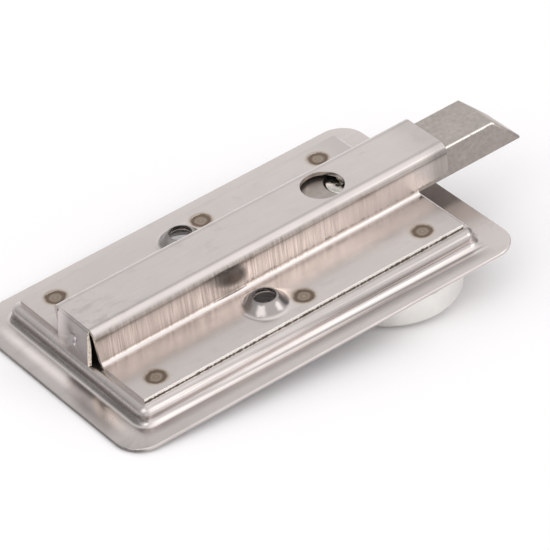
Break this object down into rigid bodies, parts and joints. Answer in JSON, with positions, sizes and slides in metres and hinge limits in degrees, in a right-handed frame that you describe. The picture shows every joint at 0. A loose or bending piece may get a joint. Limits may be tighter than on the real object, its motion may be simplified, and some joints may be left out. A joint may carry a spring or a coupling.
{
  "type": "slam latch",
  "caption": "Flush slam latch: pressed steel tray with a bevelled spring bolt in a folded guide on its back and an oval finger pull, a drawn cap on a post, on its front.",
  "frame": {"origin": "centre of the tray on the back face of its flange, the face that seats on the panel", "axes": "+X along the bolt's throw, +Y across the latch, +Z out of the back of the latch, into the panel"},
  "size_m": [0.1522, 0.076, 0.0272],
  "materials": {
    "pressed_stainless": "mill satin",
    "folded_stainless": "mill satin, walls brushed across",
    "bolt_steel": "matte grey",
    "polished_stainless": "polished",
    "screw_steel": "bright zinc",
    "spring_steel": "bright drawn wire"
  },
  "bodies": {
    "housing": {"tray": "pressed_stainless", "bolt_guide": "folded_stainless", "return_spring": "spring_steel"},
    "bolt": {"slam_bolt": "bolt_steel", "pull_handle": "polished_stainless", "pull_post": "bolt_steel", "pull_screw": "screw_steel"}
  },
  "joints": [
    {"name": "bolt_slide", "type": "slide", "parent": "housing", "child": "bolt", "axis": [1, 0, 0], "range_m": [-0.025, 0], "stiffness_N_per_m": 900, "springref_m": 0.01, "deforming": ["return_spring"]}
  ]
}
